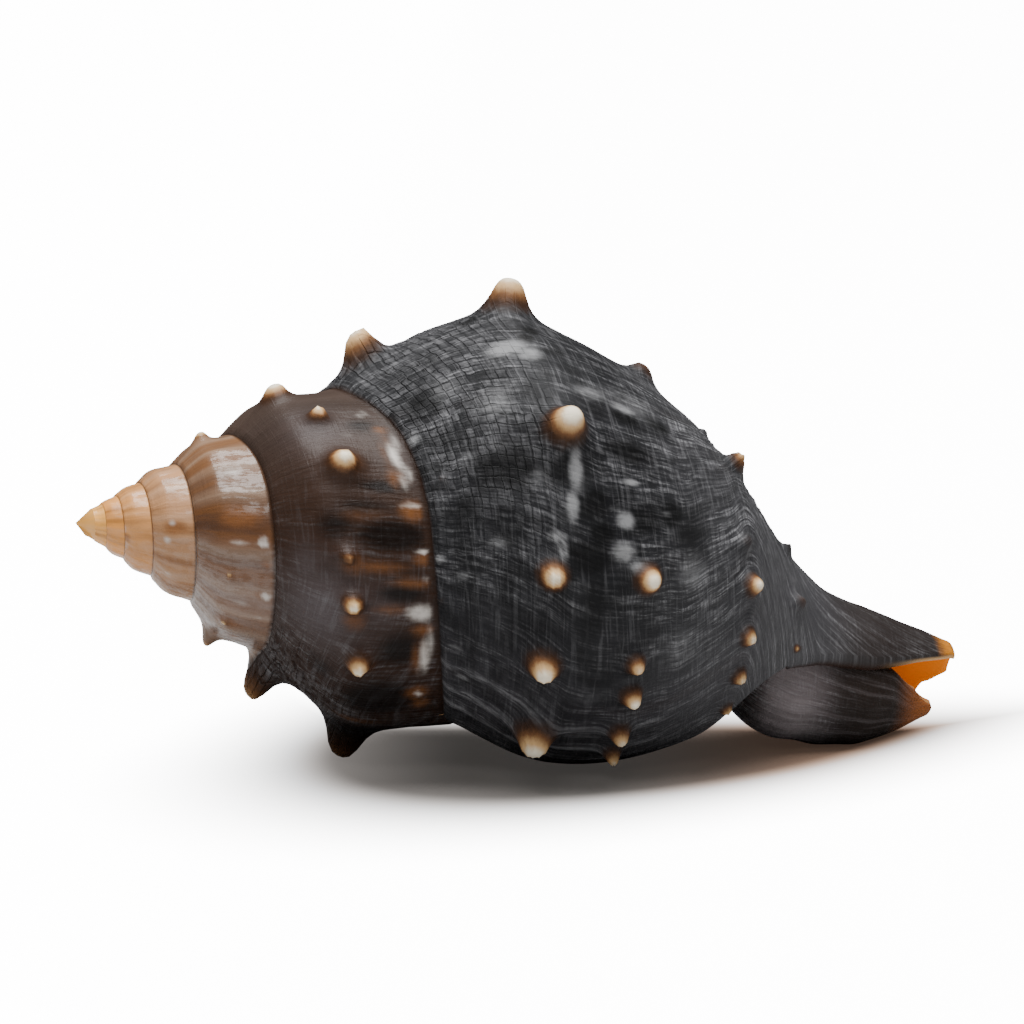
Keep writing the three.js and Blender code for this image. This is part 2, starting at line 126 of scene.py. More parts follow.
# knobs: turn, distance along the axis, height, radius of the base, how pale the tip is
knobForm = {
    "shoulder": [
        (0, 42.3, 3.9, 3.2, 0.95), (0.152, 43.7, 3.5, 2.7, 1), (0.252, 42.5, 2.9, 2.1, 0.95),
        (0.317, 42.8, 3.3, 2.3, 1), (0.384, 44, 3.5, 2.7, 1), (-0.12, 40, 2.8, 2.5, 0.8),
        (-0.24, 36.6, 2.8, 2.5, 0.8), (-0.35, 34.2, 3, 2.5, 0.8),
    ],
    "upper": [
        (0.02, 56, 1.5, 2.1, 0.42), (0.25, 52, 2.3, 2.1, 1), (0.312, 51.8, 2, 1.6, 0.85),
        (0.338, 52.1, 2.4, 1.7, 1), (0.376, 52.2, 2.2, 1.7, 0.9), (0.405, 52.6, 1.9, 1.4, 0.9),
        (-0.12, 51.5, 1.4, 1.5, 0.4), (-0.26, 48, 1.5, 1.5, 0.4),
    ],
    "lower": [
        (0.01, 63.4, 0.7, 1.3, 0.1), (0.07, 65.2, 2, 1.7, 0.75), (0.191, 63.8, 1.4, 1.5, 0.15),
        (0.228, 64.6, 2.1, 1.7, 1), (0.278, 64.5, 1.8, 1.5, 0.95), (0.32, 64.3, 1.6, 1.4, 0.9),
        (0.362, 64.1, 1.2, 1.1, 0.9), (-0.1, 62, 1.3, 1.4, 0.3), (-0.22, 59.5, 1.3, 1.4, 0.3),
        (0.07, 72.1, 1, 1.1, 0.15), (0.176, 71.8, 1.3, 1.4, 0.25), (0.243, 71.7, 0.4, 0.7, 0.9),
    ],
    "spire": [
        (-0.48, 29.4, 4.1, 3.2, 0.55), (-0.65, 25.9, 2.4, 1.8, 1), (-0.706, 24.6, 2, 1.6, 1),
        (-0.748, 23.9, 1.3, 1.2, 0.6), (-0.843, 23.6, 2.3, 2.1, 1), (-0.913, 22.1, 1.6, 1.4, 0.95),
        (-0.99, 19.2, 1.6, 2.1, 1), (-1.25, 16.2, 1.3, 1.3, 0.5), (-1.38, 15, 1.2, 1.2, 0.5),
        (-1.5, 14.3, 1.5, 1.3, 0.7), (-2.01, 12.3, 1, 1.3, 0.95), (-1.696, 13.9, 0.5, 0.7, 1),
        (-1.6, 14.3, 0.5, 0.7, 0.9),
    ],
    "ramp": [
        (-0.02, 28.7, 3.7, 3, 0.85), (-0.48, 20.8, 4.6, 2.6, 0.66), (-0.2, 26, 2, 1.9, 0.6),
        (0.177, 33.1, 0.7, 1, 0.12), (0.287, 33.4, 0.6, 0.9, 0.12),
    ],
    "lean": 0.5,
    # share of the height, by distance from the middle as a share of the base radius
    "blunt": [
        (0, 1), (0.22, 0.97), (0.4, 0.86), (0.54, 0.64), (0.68, 0.4), (0.9, 0.2), (1.25, 0.07), (1.9, 0),
    ],
    "pointed": [
        (0, 1), (0.16, 0.965), (0.36, 0.8), (0.54, 0.52), (0.72, 0.29), (0.95, 0.12), (1.3, 0.03), (1.9, 0),
    ],
    "reach": 1.9,
    # radii of the base from which a knob is pointed and blunt
    "bluntFrom": (1.3, 2.7),
    # how pale the knob is, by share of the height
    "paleness": [(0.1, 0), (0.3, 0.2), (0.52, 0.42), (0.8, 0.72), (0.98, 1)],
}


def curve(keys, x):
    keys = np.asarray(keys, float)
    across = keys[:, 0]
    up = keys[:, 1]
    rise = np.diff(up) / np.diff(across)
    same = rise[:-1] * rise[1:] > 0
    total = np.where(same, rise[:-1] + rise[1:], 1)
    middle = np.where(same, 2 * rise[:-1] * rise[1:] / total, 0)
    slope = np.concatenate([rise[:1], middle, rise[-1:]])
    x = np.clip(x, across[0], across[-1])
    i = np.clip(np.searchsorted(across, x, side="right") - 1, 0, len(across) - 2)
    width = across[i + 1] - across[i]
    f = (x - across[i]) / width
    near = up[i] * (1 + 2 * f) + slope[i] * width * f
    far = up[i + 1] * (3 - 2 * f) + slope[i + 1] * width * (f - 1)
    return near * (1 - f) ** 2 + far * f ** 2


def growth(name, turn):
    return np.exp(curve([(t, math.log(v)) for t, v in form[name]], turn))


def smoothStep(x):
    x = np.clip(x, 0, 1)
    return x * x * (3 - 2 * x)


def stepAcross(x, ends):
    return smoothStep((x - ends[0]) / (ends[1] - ends[0]))


def rampRadius(turn, share):
    low = growth("sutureRadius", turn)
    high = growth("shoulderRadius", turn)
    return low + (high - low) * (1 - np.maximum(0, 1 - share) ** form["rampPower"])


def coveredRadius(turn, share):
    # the side of a covered turn, from the shoulder to the next suture
    high = growth("shoulderRadius", turn)
    return high + (growth("sutureRadius", turn + 1) - high) * share


def sideRadius(along, turn, made):
    # made is the turn at which that stretch of shell was grown
    top = growth("shoulderAlong", turn)
    wide = growth("shoulderRadius", turn)
    end = curve(form["baseAlong"], turn)
    share = curve(form["canalShare"], made)
    neck = curve(form["canalRadius"], along) * share
    foot = curve(form["canalRadius"], end) * share
    s = np.maximum(0, (along - top) / (end - top))
    base = foot + (wide - foot) * (1 - s ** curve(form["sideFullness"], turn))
    fold = form["fold"]
    lift = fold["height"] * np.exp(-(((along - fold["along"]) / fold["width"]) ** 2))
    lift = lift * np.exp(-(((made - fold["turn"]) / fold["turns"]) ** 2))
    soft = form["neckBlend"] * np.minimum(1, s)
    return 0.5 * (base + neck + np.hypot(base - neck, soft)) + lift


def arcLength(made):
    # millimetres of shoulder grown up to a turn
    turns = np.linspace(form["firstTurn"], 0.5, 1701)
    steps = 2 * math.pi * growth("shoulderRadius", turns) * (turns[1] - turns[0])
    return np.interp(made, turns, np.cumsum(steps))


def leadTurns(along):
    return curve(form["lipLead"], along) / 360


def columnShares(count):
    # shares of a region's width, without the column that it takes over
    return np.linspace(0, 1, count + 1)[None, 1:]


def sutureLip(made, share):
    # the raised edge with which each turn laps over the one before
    size = growth("sutureRadius", made)
    down = share * (growth("shoulderAlong", made) - growth("sutureAlong", made))
    x = down / (form["sutureReach"] * size)
    arc = arcLength(made)
    wavy = 1 + 0.35 * np.sin(arc * 1.7 + 2 * np.sin(arc * 0.61))
    return form["sutureEdge"] * size * x * np.exp(1 - x) * wavy


def growthWaves(made, fromEnd):
    # low folds along each growth line, fading out at a suture
    arc = arcLength(made)
    lift = 0
    for k, (length, height) in enumerate(form["waves"]):
        uneven = 1.7 * np.sin(arc * (0.11 + 0.07 * k) + k)
        lift = lift + height * np.sin(2 * math.pi * arc / length + uneven)
    return lift * smoothStep(fromEnd / form["waveEnd"])


def ridgeShare(made, tall):
    # growth ridges, as heights in mm or as shares
    arc = arcLength(made)
    return sum((height if tall else 1) * np.exp(-((arc - arcLength(turn)) / half) ** 2)
               for turn, height, half in form["ridges"])


def ribShare(made):
    # 1 on the crest of each soft rib of the early turns
    ribs = form["ribs"]
    place = made * ribs["perTurn"] + 0.3 * np.sin(made * 23)
    off = (place - np.round(place)) / ribs["width"]
    return smoothStep((ribs["before"] - made) / ribs["fade"]) * np.exp(-off ** 2)


def ribLift(made, across):
    # across runs from 0 at one suture to 1 at the next
    size = growth("shoulderRadius", made) * form["ribs"]["height"] * (1 + 0.5 * np.sin(made * 61))
    return size * ribShare(made) * np.sin(math.pi * np.clip(across, 0, 1)) ** 1.5


yaw = form["axisYaw"] * degree
tilt = form["axisTilt"] * degree
alongAxis = np.array([math.cos(yaw) * math.cos(tilt), math.sin(yaw) * math.cos(tilt), -math.sin(tilt)])
sideways = np.array([math.sin(yaw), -math.cos(yaw), 0])
upward = -np.cross(alongAxis, sideways)


def place(turn, along, radius):
    angle = np.asarray(turn) * 2 * math.pi
    lift = radius * np.cos(angle) - curve(form["canalSag"], along)
    return (np.multiply.outer(along, alongAxis) + np.multiply.outer(lift, upward)
            + np.multiply.outer(radius * np.sin(angle), sideways))


lipTurn = form["lipTurn"]
neckAlong = form["neckAlong"]
ramp = form["rampColumns"]
rampShares = np.linspace(0, 1, ramp + 1) ** form["columnPower"]
sewn = ramp + form["sideColumns"]
neck = sewn + form["bodyColumns"]
tip = neck + form["canalColumns"]


def softened(parts, times):
    # joins the parts of each row and rounds the shoulder's crease, with the row's ends left as they are
    values = np.concatenate(parts, 1)
    reach = form["softenReach"]
    low, high = max(1, ramp - reach), min(values.shape[1] - 1, ramp + reach)
    for _ in range(times):
        mean = (values[:, low - 1:high - 1] + 2 * values[:, low:high] + values[:, low + 1:high + 1]) / 4
        values[:, low:high] = mean
    return values


def spireRows(made):
    # the covered turns: from one suture over the shoulder to the next
    made = made[:, None]
    share = rampShares[None, :]
    suture = growth("sutureAlong", made)
    shoulder = growth("shoulderAlong", made)
    rampAlong = suture + (shoulder - suture) * share
    rampR = rampRadius(made, share) + sutureLip(made, share)
    side = columnShares(sewn - ramp)
    sideAlong = shoulder + (growth("sutureAlong", made + 1) - shoulder) * side
    along = softened([rampAlong, sideAlong], form["softenSpire"])
    radius = softened([rampR, coveredRadius(made, side)], form["softenSpire"])
    across = (along - suture) / (growth("sutureAlong", made + 1) - suture)
    size = growth("shoulderRadius", made)
    fromEnd = np.minimum(across, 1 - across) * size
    radius = radius + growthWaves(made, fromEnd) * size / form["waveRadius"] + ribLift(made, across)
    return np.broadcast_to(made, along.shape).copy(), along, radius


def lastRows(made):
    # the last turn: ramp, side, body and canal
    made = made[:, None]
    share = rampShares[None, :]
    suture = growth("sutureAlong", made)
    shoulder = growth("shoulderAlong", made)
    lead = leadTurns(shoulder)
    rampTurn = made + lead * share ** 2
    rampAlong = suture + (growth("shoulderAlong", rampTurn) - suture) * share
    rampR = rampRadius(rampTurn, share) + sutureLip(made, share)
    since = made - (lipTurn - 1)
    edge = growth("shoulderAlong", made + lead)
    line = growth("sutureAlong", lipTurn) * (1 - since) + (edge + form["sideDepth"]) * since
    side = columnShares(sewn - ramp)
    body = columnShares(neck - sewn)
    canal = columnShares(tip - neck)
    along = np.concatenate([
        edge + (line - edge) * side,
        line + (neckAlong - line) * body,
        neckAlong + (curve(form["tipAlong"], made) - neckAlong) * canal,
    ], 1)
    slot = curve(form["slotWidth"], along) / 360 * np.maximum(0, 1 - since / form["slotTurns"])
    turn = made + leadTurns(along) + slot
    radius = sideRadius(along, turn, made)
    # just past the lip's corner the side passes over from the covered turns' shape
    uncovered = smoothStep(since / form["cornerTurns"])
    width = side.shape[1]
    radius[:, :width] = coveredRadius(made, side) * (1 - uncovered) + radius[:, :width] * uncovered
    radius = softened([rampR, radius], form["softenLast"])
    along = softened([rampAlong, along], form["softenLast"])
    # the folds end at the suture above, and at the one below where the next turn covered it
    below = np.where(np.arange(tip + 1) < sewn, 1 - (along - suture) / (line - suture), 1)
    fromEnd = np.minimum(along - suture, 30 * np.clip(np.maximum(below, uncovered), 0, 1))
    calm = 1 - form["calmShare"] * stepAcross(along, form["calmAlong"])
    ridge = ridgeShare(made, True) * smoothStep(fromEnd / 2) * (1 - stepAcross(along, form["ridgeEnd"]))
    return np.concatenate([rampTurn, turn], 1), along, radius + (growthWaves(made, fromEnd) + ridge) * calm


def innerRows(made):
    # the wall inside the mouth that the last turn is wound upon
    made = made[:, None]
    corner = growth("sutureAlong", made + 1) + form["cornerDepth"]
    body = np.linspace(0, 1, neck - sewn + 1)[None, :]
    along = corner + (neckAlong - corner) * body
    turn = made + leadTurns(along)
    return turn, along, sideRadius(along, turn, made)


def liningRows(made, outside):
    # one wall thickness in from the outside
    turn, along, radius = outside
    da = np.gradient(along, axis=1)
    dr = np.gradient(radius, axis=1)
    long = np.hypot(da, dr)
    deep = ((lipTurn - made) / form["chamberTurns"])[:, None]
    body = form["lipThickness"] + (form["deepThickness"] - form["lipThickness"]) * deep
    thick = np.broadcast_to(body, along.shape).copy()
    thick[:, neck:] = curve(form["canalThickness"], along[:, neck:])
    inward = np.maximum(form["leastRadius"], radius - thick * da / long)
    shift = thick * dr / long
    shift[:, neck:] = 0
    return turn, along + shift, inward


def skinRadius(turn, along):
    suture = growth("sutureAlong", turn)
    shoulder = growth("shoulderAlong", turn)
    if along < shoulder:
        return float(rampRadius(turn, (along - suture) / (shoulder - suture)))
    if turn > lipTurn - 1:
        return float(sideRadius(along, turn, turn))
    share = (along - shoulder) / (growth("sutureAlong", turn + 1) - shoulder)
    return float(coveredRadius(turn, share))


def knobFrame(turn, along):
    # the foot of a knob on the surface, and the way it points
    def at(t, a):
        return place(t, a, skinRadius(t, a))
    foot = at(turn, along)
    around = at(turn + 0.01, along) - at(turn - 0.01, along)
    down = at(turn, along + 0.4) - at(turn, along - 0.4)
    normal = np.cross(around, down)
    normal /= np.linalg.norm(normal)
    radial = place(turn, along, 2.0) - place(turn, along, 1.0)
    out = normal * knobForm["lean"] + radial * (1 - knobForm["lean"])
    return foot, out / np.linalg.norm(out)


# patches of colour, some of them painted shade, painted highlights and a painted sheen: turn, distance along
# the axis, half size round the turn and along the axis, strength
markForm = {
    "white": [
        (-0.86, 29, 2.6, 0.7, 0.9), (-0.83, 29.9, 1.6, 0.6, 0.9), (-0.8, 29.6, 0.6, 0.6, 0.9),
        (-0.8, 31, 0.5, 0.5, 0.6), (-0.755, 31.3, 0.35, 0.9, 0.9), (-0.729, 31.6, 0.7, 0.7, 0.5),
        (-0.697, 31.6, 1.1, 1.9, 0.9), (-0.655, 32.7, 3.4, 0.8, 0.9), (-0.605, 33, 0.8, 0.7, 0.7),
        (-0.92, 26.6, 1, 0.8, 0.5), (-0.885, 24.6, 0.7, 1.6, 0.3), (-1.751, 14.6, 0.5, 2.6, 0.5),
        (-1.753, 16.9, 0.6, 0.7, 1), (-1.669, 17.6, 0.6, 0.6, 1), (-1.631, 17.4, 0.4, 0.8, 0.5),
        (-1.65, 15.4, 0.5, 2.4, 0.4), (-2.736, 8.3, 0.5, 0.7, 0.7), (-2.782, 8.7, 0.5, 0.6, 0.6),
        (-2.64, 8.8, 0.4, 1.6, 0.5), (-3.751, 4.6, 0.5, 0.6, 0.6), (-3.67, 4.9, 0.5, 0.7, 0.6),
        # a painted highlight on the second turn; the other white patches are the shell's colour
        (-1.872, 14.1, 1, 1.8, 0.5),
    ],
    "warm": [
        (-0.795, 30.3, 1.3, 1.6, 1), (-0.892, 28, 0.9, 1.1, 0.7), (-0.865, 28.2, 3, 1, 0.5),
        (-0.83, 28.8, 1.6, 1.2, 0.7), (-0.748, 31.4, 0.9, 1.2, 0.9), (-0.725, 30.6, 0.7, 3, 0.8),
        (-0.68, 32.1, 0.8, 1.6, 1), (-0.652, 32, 2.8, 1, 0.8), (-0.608, 32.8, 1.4, 1.6, 0.9),
        (-0.59, 33.6, 1.4, 1.2, 0.8), (-0.74, 27, 0.8, 4, 0.7), (-0.7, 28.6, 0.8, 3, 0.6),
        (-0.845, 24.4, 2, 2, 0.5), (-0.742, 24.6, 1.4, 2, 0.7), (-0.69, 25, 1.7, 1.7, 0.7),
        (-0.645, 26.4, 1.8, 1.8, 0.6), (-0.55, 27, 1.5, 5, 0.5), (-0.79, 25, 1, 4, 0.4),
        (-1.79, 14.6, 1.3, 3.4, 1), (-1.7, 14.2, 0.8, 2.4, 0.5), (-1.6, 14.6, 1.2, 2, 0.9),
        (-1.55, 16, 1.2, 2, 0.8), (-1.67, 17, 0.6, 0.9, 0.8), (-1.72, 17.3, 0.6, 0.7, 0.8),
        (-1.9, 13.4, 1.2, 1.2, 0.5), (-2.77, 8.9, 0.9, 2, 1), (-2.69, 8.9, 0.6, 1.6, 0.5),
        (-3.71, 4.9, 0.5, 1, 0.9), (-2.58, 9.4, 0.6, 1.4, 0.7),
    ],
    # dark patches: those at negative turns darken the shell's brown colour; those from turn 0 on, on the
    # body, are painted shade under ridges and between the knobs
    "dark": [
        (-0.77, 28.2, 1.8, 4.4, 1), (-0.82, 27.4, 0.8, 3.4, 0.9), (-0.8, 25.5, 1, 4, 0.6),
        (-0.715, 29.6, 1, 3, 0.9), (-0.735, 22, 1.2, 4, 0.3), (-0.66, 30, 2.4, 2.8, 0.8),
        (-0.6, 29, 4, 5, 0.9), (-0.78, 22.5, 2, 3, 0.7), (-0.9, 26.2, 1.5, 2, 0.6), (-0.5, 31, 5, 6, 0.8),
        (-0.62, 23, 2, 3, 0.5), (0.01, 38, 1.2, 1.6, 0.8), (0.05, 36, 1.5, 3, 0.4),
        (0.24, 46.2, 2.2, 2.4, 1), (0.235, 45, 1.2, 3, 0.8), (0.19, 58, 2, 4, 0.4),
        (0.16, 50.5, 1.5, 5, 0.95), (0.18, 44, 2.2, 3, 0.8), (0.205, 46.5, 1.6, 2.6, 0.8),
        (0.21, 51.5, 2, 3.6, 0.8), (0.23, 38, 0.8, 5, 0.6), (0.27, 46.8, 4.6, 2, 0.6), (0.3, 42, 4, 6, 0.3),
        (0.1, 33, 1.4, 1.8, 0.6), (0.165, 31.5, 1.6, 1.5, 0.6), (0.155, 38, 0.8, 4, 0.5),
        (0.19, 36, 1, 4, 0.5), (0.21, 57, 4, 4, 0.6), (0.075, 44.6, 0.9, 3, 0.6),
        (0.175, 38.2, 2.6, 4.6, 0.95), (0.2, 35, 1.6, 3, 0.5), (0.09, 31.8, 3.4, 2.6, 0.6),
        (0.05, 33, 4, 4, 0.4), (0.046, 43.2, 1.3, 1.1, 1), (0.06, 42.2, 1.2, 1, 1), (0.13, 50.6, 1, 3, 1),
        (0.122, 54.6, 1.1, 3, 0.9), (0.2, 55, 1.8, 2.2, 0.9), (0.2, 46.6, 1.2, 1.4, 1),
        (0.224, 47.2, 1.4, 1.8, 1), (0.183, 38.6, 1.6, 3, 0.8),
    ],
    # painted highlights: grey-white glints on knob flanks and ridges, and lightened places on the body
    "pale": [
        (0.068, 39.9, 1.6, 2.8, 1), (0.345, 48.4, 3, 6, 0.25), (0.11, 52, 3.4, 7, 0.4),
        (0.24, 57.5, 3, 3, 0.45), (0.3, 57, 4, 4, 0.35), (0.226, 42.6, 0.7, 1.4, 0.9),
        (0.236, 43.4, 1.2, 0.6, 0.8), (0.234, 49.4, 1.3, 1.6, 0.9), (0.243, 50.8, 1, 1, 0.7),
        (0.128, 31, 1, 1.2, 0.7), (0.185, 41, 1.6, 1.6, 0.4), (0.205, 49, 0.5, 3, 0.4),
        (0.12, 51, 0.9, 6, 0.7), (0.25, 33.2, 0.6, 1.8, 0.8), (0.262, 35, 0.7, 3, 0.5),
        (0.19, 40, 0.4, 4, 0.4), (0.12, 38, 3, 3, 0.5), (0.09, 34, 3, 3, 0.4), (0.16, 35, 0.8, 4, 0.4),
        (0.115, 47.5, 1.6, 4, 0.5), (0.36, 36.6, 0.5, 4, 0.6), (0.385, 42, 0.4, 7, 0.5),
        (0.39, 50, 0.4, 6, 0.4), (0.33, 35.4, 0.6, 1.6, 0.5), (0.2, 54.5, 0.5, 4, 0.4),
        (0.255, 57, 0.5, 4, 0.35), (0.181, 44.6, 2.6, 0.9, 0.9), (0.205, 44.2, 2, 0.8, 0.9),
        (0.212, 49.7, 1, 1.3, 1), (0.184, 50.4, 0.5, 2.2, 0.8), (0.232, 37.6, 0.9, 4, 0.5),
        (0.079, 42, 1.6, 1.8, 0.8),
    ],
    # a painted sheen: a soft lilac-grey reflection low on the turn before the last
    "haze": [
        (-0.69, 22, 5, 5, 1), (-0.7, 27.6, 3, 2.4, 0.5), (-0.9, 21.5, 4, 4, 0.4), (-0.73, 20.5, 3, 2, 0.6),
    ],
}


def markStrength(turn, points):
    # how much of each colour patch every point of a grid has
    found = {}
    for name, marks in markForm.items():
        found[name] = np.zeros(turn.shape)
        for markTurn, markAlong, wide, long, strength in marks:
            offset = points - place(markTurn, markAlong, skinRadius(markTurn, markAlong))
            lengthwise = offset @ alongAxis
            around = np.sqrt(np.maximum(0, (offset ** 2).sum(-1) - lengthwise ** 2))
            far = np.hypot(around / wide, lengthwise / long) * 1.15
            patch = strength * np.exp(-far ** 2) * (np.abs(turn - markTurn) < 0.4)
            found[name] = np.maximum(found[name], patch)
    return found


class Surface:
    # gathers points with their marks, and faces with what each corner knows of how it was grown
    def __init__(self):
        self.points = []
        self.marks = {name: [] for name in ("cream", *markForm, "crease", "rib")}
        self.faces = []
        self.corners = []
        self.count = 0

    def add(self, points, marks=None):
        points = np.asarray(points).reshape(-1, 3)
        first = self.count
        self.points.append(points)
        self.count += len(points)
        for name, found in self.marks.items():
            found.append((marks or {}).get(name, np.zeros(len(points))).reshape(-1))
        return np.arange(first, self.count)

    def grid(self, ids, grown, flip=False):
        # ids and grown are arrays by row and column
        order = [(slice(None, -1), slice(None, -1)), (slice(1, None), slice(None, -1)),
                 (slice(1, None), slice(1, None)), (slice(None, -1), slice(1, None))]
        if flip:
            order = order[::-1]
        self.faces += np.stack([ids[at].reshape(-1) for at in order], 1).tolist()
        self.corners += np.stack([grown[at].reshape(-1, grown.shape[-1]) for at in order], 1).tolist()

    def face(self, ids, grown):
        self.faces.append([int(i) for i in ids])
        self.corners.append([tuple(float(v) for v in g) for g in grown])


shell = Surface()

# rows of each turn, from the last one back to the apex; each turn has a whole number of the steps after it
turnRows = []
for back, count in enumerate(form["steps"]):
    turnRows.append(lipTurn - 1 - back + np.arange(count + 1) / count)
lastMade = turnRows[0]
outerGrids = [lastRows(lastMade)] + [spireRows(made) for made in turnRows[1:]]

# the distance along the profile, measured on the last turn's top row
topRow = int(np.argmin(np.abs(lastMade)))
topAlong, topRadius = outerGrids[0][1][topRow], outerGrids[0][2][topRow]
profilePlace = np.concatenate([[0], np.cumsum(np.hypot(np.diff(topAlong), np.diff(topRadius)))])


def grown(made, along, columns, inside, radius=None):
    # what each point knows of its growth: arc length, place along the profile, turn, distance along the axis
    shape = along.shape
    profile = np.broadcast_to(profilePlace[columns], shape)
    if radius is not None:
        # the early turns are measured on their own profile
        own = np.hypot(np.diff(along, axis=1), np.diff(radius, axis=1)).cumsum(1)
        late = stepAcross(made, form["ownProfileEnd"])[:, None]
        profile = profile * late + np.pad(own, ((0, 0), (1, 0))) * (1 - late)
    return np.stack([
        np.broadcast_to(arcLength(made)[:, None], shape), profile,
        np.broadcast_to(made[:, None], shape), along, np.full(shape, inside),
    ], -1)


def raiseScales(grid, points):
    # rough patches, as overlapping scales that point along the growth
    turn, along, radius = grid
    out = (place(turn, along, radius + 1) - place(turn, along, radius)).reshape(-1, 3)
    flat = points.reshape(-1, 3).copy()
    for scaleTurn, scaleAlong, turns, reach, size, height in scaleForm:
        far = np.hypot((turn - scaleTurn) / turns, (along - scaleAlong) / reach).reshape(-1)
        for i in np.nonzero(far < 1)[0]:
            spot = Vector(flat[i]) / size
            ridged = 1 - abs(noise.noise(Vector((spot.x * 0.7, spot.y, spot.z)))) * 2.4
            finer = noise.noise(spot * 2.3)
            flat[i] += out[i] * height * (ridged - 0.5 + 0.5 * finer) * smoothStep(2 * (1 - far[i]))
    return flat.reshape(points.shape)


def raiseKnobs(points):
    knobs = [k for name in ("shoulder", "upper", "lower", "spire", "ramp") for k in knobForm[name]]
    flat = points.reshape(-1, 3)
    lift = np.zeros_like(flat)
    cream = np.zeros(len(flat))
    for turn, along, height, base, pale in knobs:
        foot, out = knobFrame(turn, along)
        offset = flat - foot
        up = offset @ out
        reach = np.linalg.norm(offset - np.outer(up, out), axis=1) / base
        near = (reach < knobForm["reach"]) & (np.abs(up) < 3 + 0.7 * base)
        pointedAt, bluntAt = knobForm["bluntFrom"]
        bluntness = float(smoothStep((base - pointedAt) / (bluntAt - pointedAt)))
        blunt, pointed = (curve(knobForm[name], reach[near]) for name in ("blunt", "pointed"))
        share = blunt * bluntness + pointed * (1 - bluntness)
        lift[near] += np.outer(share * height, out)
        cream[near] = np.maximum(cream[near], curve(knobForm["paleness"], share) * pale)
    return (flat + lift).reshape(points.shape), cream.reshape(points.shape[:-1])


outside = []
for made, grid in zip(turnRows, outerGrids):
    points = place(*grid)
    marks = markStrength(grid[0], points)
    # painted shade along each suture's crease, coming in over the early turns
    marks["crease"] = np.zeros(grid[0].shape)
    marks["crease"][:, 0] = stepAcross(made, form["sutureShadeTurns"])
    marks["rib"] = np.repeat((ribShare(made) + ridgeShare(made, False))[:, None], grid[0].shape[1], 1)
    points, marks["cream"] = raiseKnobs(raiseScales(grid, points))
    outside.append((points, marks))
outerLast, lastMarks = outside[0]
print("outside grids", [points.shape[:2] for points, _ in outside])

# the outside: the last turn first, then each turn before it, sewn to the start of the one after
lastIds = shell.add(outerLast, lastMarks).reshape(outerLast.shape[:2])
lastGrown = grown(lastMade, outerGrids[0][1], np.arange(tip + 1), 0)
shell.grid(lastIds, lastGrown)
after = lastIds[:, 0]
afterStart = lastIds[0, :sewn + 1]
for made, grid, (points, marks) in zip(turnRows[1:], outerGrids[1:], outside[1:]):
    ids = np.full(points.shape[:2], -1)
    own = {name: found[:-1, :sewn] for name, found in marks.items()}
    ids[:-1, :sewn] = shell.add(points[:-1, :sewn], own).reshape(points.shape[0] - 1, sewn)
    ids[-1, :] = afterStart
    each = (len(after) - 1) // (len(made) - 1)
    ids[:, sewn] = after[::each]
    where = grown(made, grid[1], np.arange(sewn + 1), 0, grid[2])
    shell.grid(ids[:, :sewn], where[:, :sewn])
    for row in range(len(made) - 1):
        bottom = after[row * each:(row + 1) * each + 1]
        mids = np.linspace(where[row, sewn], where[row + 1, sewn], each + 1)
        shell.face([ids[row, sewn - 1], ids[row + 1, sewn - 1], *bottom[::-1]],
                   [where[row, sewn - 1], where[row + 1, sewn - 1], *mids[::-1]])
    after = ids[:, 0]
    afterStart = ids[0, :]

apex = int(shell.add(place(0.0, form["apexAlong"], 0.0))[0])
apexGrown = [(0, 0, form["firstTurn"], form["apexAlong"], 0)] * 3
for near, far in (*zip(after[1:], after), *zip(afterStart, afterStart[1:])):
    shell.face([apex, near, far], apexGrown)

# the inside, on every few rows of the outside
step = form["insideStep"]
insideMade = lastMade[::step]
last = len(insideMade) - 1
liningAt = liningRows(insideMade, lastRows(insideMade))
depth = round(form["chamberTurns"] * last)
woundMade = lipTurn - 1 - np.arange(depth + 1) / last
woundAt = innerRows(woundMade)
woundPoints = place(*woundAt)
woundIds = np.full(woundAt[0].shape, -1)
woundIds[0] = lastIds[0, sewn:neck + 1]
woundIds[1:] = shell.add(woundPoints[1:]).reshape(depth, neck - sewn + 1)
liningPoints = place(*liningAt)
liningIds = np.full(liningAt[0].shape, -1)
liningIds[:, neck:] = shell.add(liningPoints[:, neck:]).reshape(last + 1, tip - neck + 1)
chamber = slice(last - depth, last + 1)
liningIds[chamber, 1:neck] = shell.add(liningPoints[chamber, 1:neck]).reshape(depth + 1, neck - 1)
liningIds[chamber, 0] = woundIds[::-1, 0]
liningGrown = grown(insideMade, liningAt[1], np.arange(tip + 1), 1)
woundGrown = grown(woundMade, woundAt[1], np.arange(sewn, neck + 1), 1)
woundGrown[0, :, -1] = 0.5
shell.grid(liningIds[chamber, :neck + 1], liningGrown[chamber, :neck + 1], flip=True)
shell.grid(liningIds[:, neck:], liningGrown[:, neck:], flip=True)
shell.grid(woundIds, woundGrown, flip=True)

# the chamber's far end, between two edges that start at one corner
low = woundIds[depth]
high = liningIds[last - depth, :neck + 1]
profileAt, alongAt = form["deepPlace"]
deepGrown = [(float(arcLength(woundMade[-1])), profileAt, float(woundMade[-1]), alongAt, 1)] * 3
i = j = 0
while i < len(low) - 1 or j < len(high) - 1:
    if j == len(high) - 1 or (i < len(low) - 1 and (i + 1) / len(low) < (j + 1) / len(high)):
        shell.face([low[i], low[i + 1], high[j]], deepGrown)
        i += 1
    else:
        shell.face([low[i], high[j + 1], high[j]], deepGrown)
        j += 1

